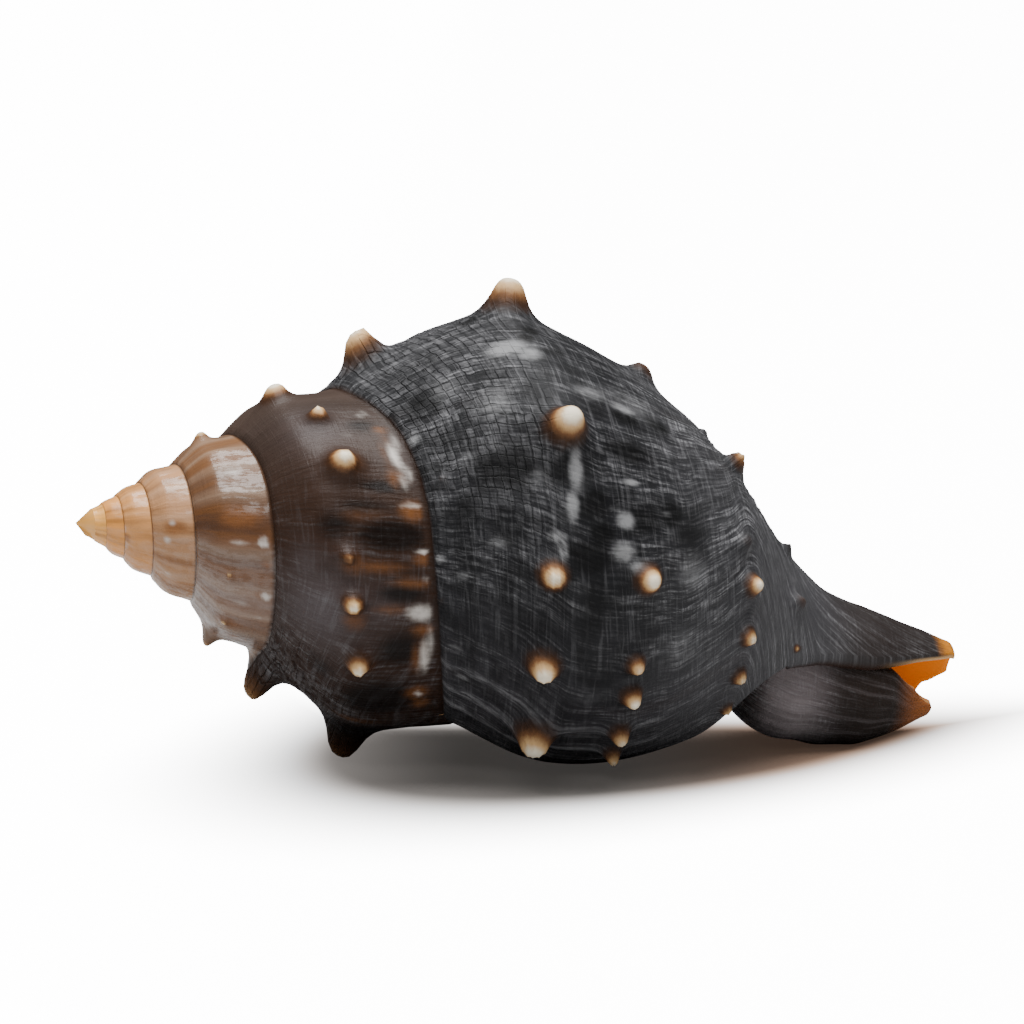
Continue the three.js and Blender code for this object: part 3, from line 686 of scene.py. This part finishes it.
# the floor between the chamber and the canal, in rings round the axis
loop = [*liningIds[:last - depth + 1, neck], *woundIds[::-1, neck - sewn]]
loopPoints = np.concatenate([liningPoints[:last - depth + 1, neck], woundPoints[::-1, neck - sewn]])
middlePoint = place(0.0, neckAlong - form["floorRise"], 0.0)
rings = [np.array(loop)]
for ring in range(1, form["floorRings"]):
    share = ring / form["floorRings"]
    rings.append(shell.add(loopPoints * (1 - share) + middlePoint * share))
middle = int(shell.add(middlePoint)[0])
deepTurn = lipTurn - form["chamberTurns"]
profileAt, alongAt = form["floorPlace"]
floorGrown = [(float(arcLength(deepTurn)), profileAt, deepTurn, alongAt, 1)] * 4
for inner, outer in zip(rings[1:], rings[:-1]):
    for i in range(len(loop)):
        k = (i + 1) % len(loop)
        shell.face([outer[i], outer[k], inner[k], inner[i]], floorGrown)
for i in range(len(loop)):
    shell.face([middle, rings[-1][i], rings[-1][(i + 1) % len(loop)]], floorGrown[:3])


def rim(outerIds, innerIds, outerPoints, innerPoints, ahead, where, flip=False):
    # a rounded edge between the outside and the lining
    steps = form["rimSteps"]
    middleLine = (outerPoints + innerPoints) / 2
    half = (outerPoints - innerPoints) / 2
    bulge = ahead * np.linalg.norm(half, axis=1)[:, None]
    rows = [outerIds]
    for k in range(1, steps):
        angle = math.pi * k / steps
        rows.append(shell.add(middleLine + half * math.cos(angle) + bulge * math.sin(angle)))
    rows.append(innerIds)
    edge = np.repeat(where[None], len(rows), 0)
    edge[..., -1] = np.linspace(0, 1, len(rows))[:, None]
    shell.grid(np.array(rows), edge, flip)


def unit(vectors):
    return vectors / np.maximum(1e-9, np.linalg.norm(vectors, axis=1)[:, None])


ahead = unit(outerLast[-1] - outerLast[-3])
rim(lastIds[-1], liningIds[last], outerLast[-1], liningPoints[last], ahead, lastGrown[-1])
behind = unit(outerLast[0, neck:] - outerLast[2, neck:])
rim(lastIds[0, neck:], liningIds[0, neck:], outerLast[0, neck:], liningPoints[0, neck:], behind,
    lastGrown[0, neck:], flip=True)
for row in range(last):
    rows = slice(row * step, (row + 1) * step + 1)
    edge = lastGrown[rows, tip]
    within = edge[[-1, 0]].copy()
    within[:, -1] = 1
    shell.face([*lastIds[rows, tip], liningIds[row + 1, tip], liningIds[row, tip]], [*edge, *within])

points = np.concatenate(shell.points)
low, high = points.min(0), points.max(0)
points -= [(low[0] + high[0]) / 2, (low[1] + high[1]) / 2, low[2] + form["restWear"]]
points[:, 2] = np.maximum(0, points[:, 2])

mesh = bpy.data.meshes.new("shellSurface")
mesh.from_pydata((points * mm).tolist(), [], shell.faces)
corners = np.concatenate([np.array(c, float) for c in shell.corners])
for name, pair in (("growth", corners[:, :2]), ("region", corners[:, 2:4])):
    mesh.uv_layers.new(name=name).data.foreach_set("uv", pair.reshape(-1))
layers = [("inside", "CORNER", corners[:, 4])]
layers += [(name, "POINT", np.concatenate(found)) for name, found in shell.marks.items()]
for name, domain, values in layers:
    mesh.attributes.new(name, "FLOAT", domain).data.foreach_set("value", values.astype(np.float32))
mesh.validate()
mesh.update()
shellPiece = bpy.data.objects.new("shellSurface", mesh)
bpy.context.scene.collection.objects.link(shellPiece)
for polygon in mesh.polygons:
    polygon.use_smooth = True
print("shell", len(mesh.vertices), "vertices", sum(len(p.vertices) - 2 for p in mesh.polygons), "triangles")


class Wire:
    # a socket that takes part in sums
    def __init__(self, recipe, socket):
        self.recipe = recipe
        self.socket = socket

    def __add__(self, other):
        return self.recipe.maths("ADD", self, other)

    __radd__ = __add__

    def __sub__(self, other):
        return self.recipe.maths("SUBTRACT", self, other)

    def __rsub__(self, other):
        return self.recipe.maths("SUBTRACT", other, self)

    def __mul__(self, other):
        return self.recipe.maths("MULTIPLY", self, other)

    __rmul__ = __mul__

    def __truediv__(self, other):
        return self.recipe.maths("DIVIDE", self, other)

    def __abs__(self):
        return self.recipe.maths("ABSOLUTE", self)

    def between(self, low, high):
        # 0 below low and 1 above high, with a soft step
        return self.recipe.made("ShaderNodeMapRange", {"interpolation_type": "SMOOTHSTEP"},
                                {"Value": self, "From Min": low, "From Max": high})


class Recipe:
    # one material's nodes
    def __init__(self, name):
        self.material = bpy.data.materials.new(name)
        self.material.use_nodes = True
        self.tree = self.material.node_tree
        self.shader = self.tree.nodes["Principled BSDF"]

    def made(self, kind, settings=None, inputs=None, output=0):
        node = self.tree.nodes.new(kind)
        for name, value in (settings or {}).items():
            if name == "stops":
                ramp = node.color_ramp.elements
                while len(ramp) < len(value):
                    ramp.new(1)
                for stop, (at, colour) in zip(ramp, value):
                    stop.position = at
                    stop.color = (*colour, 1)
            else:
                setattr(node, name, value)
        for name, value in (inputs or {}).items():
            self.join(node.inputs[name], value)
        return Wire(self, node.outputs[output])

    def join(self, socket, value):
        if isinstance(value, Wire):
            self.tree.links.new(value.socket, socket)
        elif socket.type == "RGBA":
            socket.default_value = (*value, 1)
        else:
            socket.default_value = value

    def feed(self, name, value):
        self.join(self.shader.inputs[name], value)

    def maths(self, operation, *values):
        return self.made("ShaderNodeMath", {"operation": operation}, dict(enumerate(values)))

    def mix(self, under, over, share):
        return self.made("ShaderNodeMix", {"data_type": "RGBA"}, {0: share, 6: under, 7: over}, 2)

    def scaled(self, colour, share):
        return self.made("ShaderNodeVectorMath", {"operation": "SCALE"}, {0: colour, "Scale": share})

    def at(self, x, y, z=0):
        return self.made("ShaderNodeCombineXYZ", None, {0: x, 1: y, 2: z})

    def grain(self, place, size, detail=2, roughness=0.5):
        # noise with features of about one size, in the place's own units
        return self.made("ShaderNodeTexNoise", None, {
            "Vector": place, "Scale": 1 / size, "Detail": detail, "Roughness": roughness,
        })

    def number(self, name):
        return self.made("ShaderNodeAttribute", {"attribute_name": name}, None, 2)

    def pair(self, kind, settings=None, output=0):
        # the first two parts of a node's vector
        parts = self.tree.nodes.new("ShaderNodeSeparateXYZ")
        self.join(parts.inputs[0], self.made(kind, settings, None, output))
        return Wire(self, parts.outputs[0]), Wire(self, parts.outputs[1])


finishForm = {
    # the outside's colour by turn
    "byTurn": [
        (-8, (1, 0.5, 0.11)), (-6, (1, 0.5, 0.11)), (-5, (0.74, 0.31, 0.068)), (-4.2, (0.76, 0.34, 0.1)),
        (-3.4, (0.56, 0.26, 0.1)), (-2.9, (0.46, 0.235, 0.11)), (-2.4, (0.34, 0.185, 0.1)),
        (-1.95, (0.18, 0.098, 0.055)), (-1.75, (0.07, 0.03, 0.015)), (-1.66, (0.25, 0.18, 0.15)),
        (-1.55, (0.15, 0.09, 0.062)), (-1.2, (0.08, 0.048, 0.034)),
        (-0.95, (0.045, 0.031, 0.025)), (-0.75, (0.03, 0.013, 0.0068)), (-0.5, (0.019, 0.008, 0.004)),
        (-0.2, (0.0105, 0.0105, 0.0115)), (0.25, (0.0098, 0.01, 0.0115)),
        (0.35, (0.021, 0.02, 0.0225)), (0.44, (0.026, 0.025, 0.027)),
    ],
    # the first colour on the next line belongs to a painted sheen, and pale is the grey of painted highlights
    "haze": (0.085, 0.07, 0.072), "paleLine": (0.2, 0.198, 0.206), "pale": (0.3, 0.3, 0.305),
    "brownPatch": (0.016, 0.008, 0.005), "ribPale": (0.4, 0.285, 0.2), "ribBrown": (0.15, 0.06, 0.018),
    # the third colour on the next line is the painted shade in the sutures' crease
    "white": (0.7, 0.65, 0.6), "warm": (0.2, 0.075, 0.02), "crease": (0.018, 0.007, 0.003),
    "halo": (0.045, 0.018, 0.007), "amber": (0.2, 0.09, 0.035), "cream": (0.66, 0.42, 0.2),
    "tip": (1, 0.9, 0.7), "canalBrown": (0.018, 0.0115, 0.0085), "canalEnd": (0.45, 0.16, 0.012),
    "lobeGrey": (0.27, 0.23, 0.237), "lobeBrown": (0.012, 0.007, 0.005), "lobeTip": (0.4, 0.12, 0.024),
    "insideBrownAndShade": (0.05, 0.012, 0.004), "insideWarm": (0.3, 0.09, 0.015), "insideAmber": (0.75, 0.2, 0.002),
    "lipEdge": (0.03, 0.014, 0.009), "lipEnd": (0.7, 0.42, 0.18),
    # a painted glow, given as emission, on the canal's thin end and the apex, where a little light passes
    # through
    "throughLight": (0.27, 0.06, 0), "apexLight": 0.24,
    "specularLevel": 0.15, "coatRoughness": 0.17,
    # the sizes of the grain, in millimetres
    "grain": {
        "drift": 6, "wobble": 1.7, "fine": 0.36, "folds": 2, "bands": 9, "threads": 0.95,
        "fineThreads": 0.3, "broken": 1.1, "bricks": 1, "speck": 0.7, "blocks": 3.2,
    },
    # the turns over which a look comes in or goes
    "bodyTurns": (-1.2, -0.6), "matTurns": (-1.7, -1.1), "lineTurns": (-0.95, -0.5),
    "lowerTurns": (0.22, 0.32), "lastTurns": (-0.66, -0.56), "lobeTurns": (-0.35, -0.2),
    "apexTurns": (-6, -4),
    # the same along the axis
    "greyAlong": (48, 62), "greyEnd": (76, 84), "lobeAlong": (69, 71), "lobeLeft": (73, 79),
    "canalAlong": (74, 82), "tipAlong": (87.5, 93.5), "blocksEnd": (50, 58), "ridgesEnd": (54, 60),
}


def shellFinish():
    f = finishForm
    r = Recipe("shellFinish")
    arc, profile = r.pair("ShaderNodeUVMap", {"uv_map": "growth"})
    turn, along = r.pair("ShaderNodeUVMap", {"uv_map": "region"})
    names = ("inside", "cream", "white", "warm", "dark", "pale", "haze", "crease", "rib")
    inside, cream, white, warm, dark, pale, haze, crease, rib = [r.number(name) for name in names]
    solid = r.made("ShaderNodeTexCoord", None, None, 3)
    body = turn.between(*f["bodyTurns"])
    early = 1 - body
    glossy = 1 - turn.between(*f["matTurns"])
    size = f["grain"]

    def layered(base, *layers):
        for name, share in layers:
            base = r.mix(base, f[name], share)
        return base

    # growth lines run along the profile and bend over towards the canal; threads run round the turns
    past = r.maths("MAXIMUM", along - 66, 0)
    drift = r.grain(r.at(arc * 0.25, profile), size["drift"]) - 0.5
    wobble = r.grain(r.at(arc, profile), size["wobble"]) - 0.5
    fromTop = (arc - float(arcLength(0.0))) * (1 - 0.7 * along.between(62, 75) * turn.between(-0.2, -0.08))
    lineAt = fromTop + drift * 0.8 + wobble * 0.3 - past * 0.6
    threadAt = profile + drift * 0.3 + wobble * 0.2
    fine = r.grain(r.at(lineAt, profile * 0.09), size["fine"], 3, 0.65)
    folds = r.grain(r.at(lineAt, profile * 0.13), size["folds"], 3, 0.55)
    bands = r.grain(r.at(lineAt, profile * 0.2), size["bands"])
    threadNoise = r.grain(r.at(arc * 0.05, threadAt), size["threads"], 1.5)
    threads = 1 - abs(threadNoise - 0.5).between(0, 0.05)
    fineThreads = r.grain(r.at(arc * 0.15, threadAt), size["fineThreads"], 2, 0.6)
    broken = r.grain(r.at(arc * 0.4, profile * 0.9), size["broken"]).between(0.35, 0.65)
    cells = r.made("ShaderNodeTexBrick", {"offset": 0}, {
        "Vector": r.at(lineAt + wobble * 0.6, threadAt + wobble * 0.5),
        "Color1": (0, 0, 0), "Color2": (1, 1, 1), "Mortar": (0, 0, 0), "Scale": 1,
        "Mortar Size": 0.12, "Mortar Smooth": 1, "Brick Width": 1.25, "Row Height": 1,
    })
    bricks = r.grain(r.at(lineAt * 1.4, threadAt), size["bricks"], 2, 0.6)
    speck = r.grain(solid, size["speck"] * mm, 3, 0.6)

    # the outside's colour
    first = f["byTurn"][0][0]
    span = f["byTurn"][-1][0] - first
    stops = [((t - first) / span, colour) for t, colour in f["byTurn"]]
    base = r.made("ShaderNodeValToRGB", {"stops": stops}, {0: (turn - first) / span})
    base = r.scaled(base, 0.5 + folds * 0.55 + bands * 0.5)
    rampShare = (1 - profile.between(12, 21)) * turn.between(*f["lastTurns"])
    lineShare = turn.between(*f["lineTurns"]) * (1 - 0.4 * turn.between(*f["lowerTurns"]))
    cellShare = rampShare * (1 - 0.8 * turn.between(0.14, 0.26))
    greyer = along.between(*f["greyAlong"]) * (1 - along.between(*f["greyEnd"]))
    woven = fine.between(0.42, 0.7) * (0.3 + fineThreads.between(0.35, 0.7))
    lines = woven * (0.2 + 0.8 * folds.between(0.4, 0.62)) * (0.6 + 0.5 * greyer + 0.1 * rampShare)
    lines = lines + threads * broken * 0.22
    lines = lines + cells * (0.2 + 0.8 * bricks.between(0.35, 0.65)) * (0.38 * cellShare)
    lines = lines + greyer * (0.02 + 0.18 * fine + 0.12 * turn.between(0.25, 0.33))
    lines = lines + turn.between(0.35, 0.42) * fine.between(0.52, 0.66) * 0.4
    ridge = rib * turn.between(0.3, 0.34) * (1 - along.between(*f["ridgesEnd"]))
    lobe = (1 - turn.between(*f["lobeTurns"])) * along.between(*f["lobeAlong"])
    lobeLeft = (1 - along.between(*f["lobeLeft"])) * (0.35 + folds * 0.4)
    endShare = along.between(*f["tipAlong"]) * (0.4 + fine + 0.6 * speck)
    base = layered(
        base,
        ("ribPale", rib * early * 0.3),
        ("ribBrown", glossy * (1 - rib) * folds.between(0.4, 0.62) * 0.65),
        ("brownPatch", body * bands.between(0.58, 0.7) * 0.3),
        # a painted sheen
        ("haze", haze * (0.7 + 0.3 * fine)),
        ("paleLine", lines * lineShare),
        ("paleLine", ridge * fine.between(0.3, 0.7) * 0.8),
        ("canalBrown", along.between(*f["canalAlong"]) * (1 - 0.7 * fine) * 0.9),
        ("lobeBrown", lobe * along.between(74, 80) * (1 - 0.8 * fine) * 0.95),
        ("lobeGrey", lobe * (lobeLeft + folds.between(0.5, 0.62) * 0.1)),
        ("lobeTip", lobe * along.between(84.5, 89.5) * (0.5 + 0.7 * fine)),
        ("canalEnd", endShare.between(0.35, 1)),
    )
    blocks = r.grain(r.at(lineAt * 0.9, profile * 1.1), size["blocks"], 1) * turn.between(-0.1, 0.1)
    blocks = blocks.between(0.42, 0.64) * (1 - along.between(*f["blocksEnd"]))
    # darkens the colour where the dark patches are: brown colour on the early turns, painted shade on the
    # body
    shade = (dark * (0.6 + 0.8 * fine)).between(0.1, 0.75)
    base = r.scaled(base, (1 - shade * 0.8) * (1.1 - 0.4 * blocks))
    ragged = 0.1 + 0.6 * bricks + 0.6 * fine + 0.5 * speck
    spotty = 0.5 + 0.3 * fine + 0.6 * speck
    # knob tips fade from cream through amber to a brown halo
    tipAt = cream + (speck - 0.5) * 0.16
    base = layered(
        base,
        # painted highlights on the body
        ("pale", (pale * ragged).between(0.15, 0.8) * 0.75),
        ("warm", (warm * spotty).between(0.12, 0.9) * 0.75),
        # white patches of the shell's colour, and a painted highlight on the second turn
        ("white", (white * spotty).between(0.15, 0.85) * 0.85),
        # painted shade in the sutures' crease
        ("crease", crease * 0.9),
        ("halo", tipAt.between(0.04, 0.3) * 0.75 * (1 - glossy)),
        ("amber", tipAt.between(0.26, 0.58)),
        ("cream", tipAt.between(0.46, 0.78)),
        ("tip", tipAt.between(0.72, 1)),
    )

    # the inside is amber towards the canal's end and the lip, and dark red-brown within: partly its colour,
    # partly painted shade deeper in the mouth
    ahead = turn.between(-0.5, 0.44)
    warmer = (along.between(66, 84) * 0.5 + ahead * 0.5) * (0.7 + bands * 0.6)
    within = r.mix(f["insideBrownAndShade"], f["insideWarm"], warmer)
    within = r.mix(within, f["insideAmber"], along.between(82, 89))
    within = r.mix(within, f["insideAmber"], turn.between(0.3, 0.43) * 0.6)
    edge = inside.between(0.1, 0.5)
    ends = r.maths("MAXIMUM", along.between(82, 90), 1 - along.between(50, 66))
    lip = r.mix(f["lipEdge"], f["lipEnd"], ends)
    colour = r.mix(base, lip, inside.between(0.1, 0.4) * 0.85)
    colour = r.mix(colour, within, inside.between(0.6, 0.95))
    r.feed("Base Color", colour)
    # a painted glow on the canal's thin end and the apex
    through = inside.between(0.5, 0.95) * along.between(83, 91.5)
    through = through + (1 - turn.between(*f["apexTurns"])) * f["apexLight"]
    r.feed("Emission Color", r.scaled(f["throughLight"], through))
    r.feed("Emission Strength", 1)

    # the last turn is rough, and the early turns have a crackled clear coat
    rough = 0.24 + turn.between(-0.75, -0.5) * (0.14 + 0.12 * rampShare) + fine * 0.18 + bricks * 0.14
    rough = rough + (speck - 0.5) * 0.1 - edge * 0.12 - cream.between(0.5, 0.8) * 0.1
    r.feed("Roughness", rough)
    crackle = (bricks * 0.4 + fine * 0.6).between(0.44, 0.54)
    r.feed("Coat Weight", glossy * (0.15 + 0.85 * crackle))

    # heights in millimetres
    height = fine * (0.05 + 0.05 * body) + folds * 0.09 + threads * broken * (0.012 + 0.02 * rampShare)
    height = height + bricks * (0.04 + 0.06 * rampShare * body) + cells * cellShare * 0.15
    height = height + fineThreads * (0.012 + 0.025 * body)
    height = height * (1 - 0.8 * edge) * (1 - 0.7 * cream.between(0.4, 0.8)) + speck * 0.012
    r.feed("Normal", r.made("ShaderNodeBump", None, {"Height": height, "Distance": mm}))
    r.feed("Specular IOR Level", f["specularLevel"])
    r.feed("Coat Roughness", f["coatRoughness"])
    # the faint glow of the thin parts isn't worth sampling as a lamp
    r.material.cycles.emission_sampling = "NONE"
    return r.material


mesh.materials.append(shellFinish())
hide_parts("shell")
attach(shellPiece, "root")
print("material done")

# the studio: the camera, a pale floor, a large soft light overhead and a weak long one in front
studio = {
    "lookAt": (-1.643, 0.151, 25.69), "distance": 400, "elevation": 9, "frameWidth": 102.4,
    "floorSize": 12, "floorSeen": 0.22, "floorBounce": 0.3, "outerBounce": 0.55, "floorGlow": 14,
    # the floor's glow leaves out an ellipse shaped like the shell's shadow, which paints that shadow's
    # outline; shadowLight and sideLight are painted light in the shadow
    "shadowLight": 0.046, "glowFrom": 0.82, "glowFull": 1.48, "glowMiddle": (0.0035, 0.025),
    "glowHalf": (0.0356, 0.0478), "glowLean": 0.45, "glowBehind": (0.015, 0.042),
    "sideLight": 1, "sideFrom": (-0.005, -0.06),
    "floorTint": (1, 0.93, 0.88), "paintedWarmLight": (1, 0.66, 0.48),
    "lampAt": (0, -0.04, 0.66), "lampSize": 0.6, "lampPower": 11.3, "surround": 0.07,
    "stripAt": (-0.1, -0.62, 0.5), "stripSize": (0.5, 0.09), "stripPower": 0.9,
}
target = Vector(studio["lookAt"]) * mm
elevation = studio["elevation"] * degree
cameraData = bpy.data.cameras.new("camera")
cameraData.sensor_width = 36
cameraData.lens = 36 * studio["distance"] / studio["frameWidth"]
camera = bpy.data.objects.new("camera", cameraData)
camera.location = target + Vector((0, -math.cos(elevation), math.sin(elevation))) * studio["distance"] * mm
camera.rotation_euler = (target - camera.location).to_track_quat("-Z", "Y").to_euler()
bpy.context.scene.collection.objects.link(camera)
bpy.context.scene.camera = camera

bpy.ops.object.select_all(action="DESELECT")
bpy.ops.mesh.primitive_plane_add(size=studio["floorSize"], location=(0, 0, 0))
floor = bpy.context.object
floor.name = "floor"


def floorFinish():
    # brighter where it is seen than where it lights the shell, as in a photograph on a white sweep
    r = Recipe("floorFinish")
    seen = r.made("ShaderNodeLightPath")
    across, back = r.pair("ShaderNodeTexCoord", None, 3)
    # the glow is left out in an ellipse round the shell, so its edge is a painted shadow's outline
    middleAt = studio["glowMiddle"]
    half = studio["glowHalf"]
    off = r.at((across - middleAt[0] - back * studio["glowLean"]) / half[0], (back - middleAt[1]) / half[1])
    away = r.made("ShaderNodeVectorMath", {"operation": "LENGTH"}, {0: off}, 1)
    away = away.between(studio["glowFrom"], studio["glowFull"])
    away = r.maths("MAXIMUM", away, back.between(*studio["glowBehind"]))
    bounce = studio["floorBounce"] + away * (studio["outerBounce"] - studio["floorBounce"])
    # painted warm light: the floor's colour warms the shell's shadow towards its right, as light that has
    # passed the shell's thin end would
    tint = r.mix(studio["floorTint"], studio["paintedWarmLight"], across.between(0.005, 0.03) * (1 - away))
    colour = r.mix(r.scaled((1, 1, 1), bounce), r.scaled(tint, studio["floorSeen"]), seen)
    paper = r.made("ShaderNodeBsdfDiffuse", None, {"Color": colour})
    # painted light in the shadow: a little over the whole floor, and more towards the left
    side = across.between(*studio["sideFrom"]) * studio["sideLight"]
    glow = seen * (studio["shadowLight"] + side + away * studio["floorGlow"])
    glowTint = r.mix(tint, (1, 1, 1), away.between(0, 0.1))
    light = r.made("ShaderNodeEmission", None, {"Color": glowTint, "Strength": glow})
    both = r.made("ShaderNodeAddShader", None, {0: paper, 1: light})
    r.join(r.tree.nodes["Material Output"].inputs["Surface"], both)
    # only the camera sees the floor's glow, so it isn't sampled as a lamp
    r.material.cycles.emission_sampling = "NONE"
    return r.material


floor.data.materials.append(floorFinish())

world = bpy.data.worlds.new("studioWorld")
bpy.context.scene.world = world
world.use_nodes = True
surround = world.node_tree.nodes["Background"].inputs
surround["Color"].default_value = (1, 1, 1, 1)
surround["Strength"].default_value = studio["surround"]


def softLight(at, size, power):
    bpy.ops.object.light_add(type="AREA", location=at)
    lamp = bpy.context.object
    lamp.rotation_euler = (target - Vector(at)).to_track_quat("-Z", "Y").to_euler()
    lamp.data.shape = "RECTANGLE"
    lamp.data.size, lamp.data.size_y = size
    lamp.data.energy = power


softLight(studio["lampAt"], (studio["lampSize"], studio["lampSize"]), studio["lampPower"])
softLight(studio["stripAt"], studio["stripSize"], studio["stripPower"])
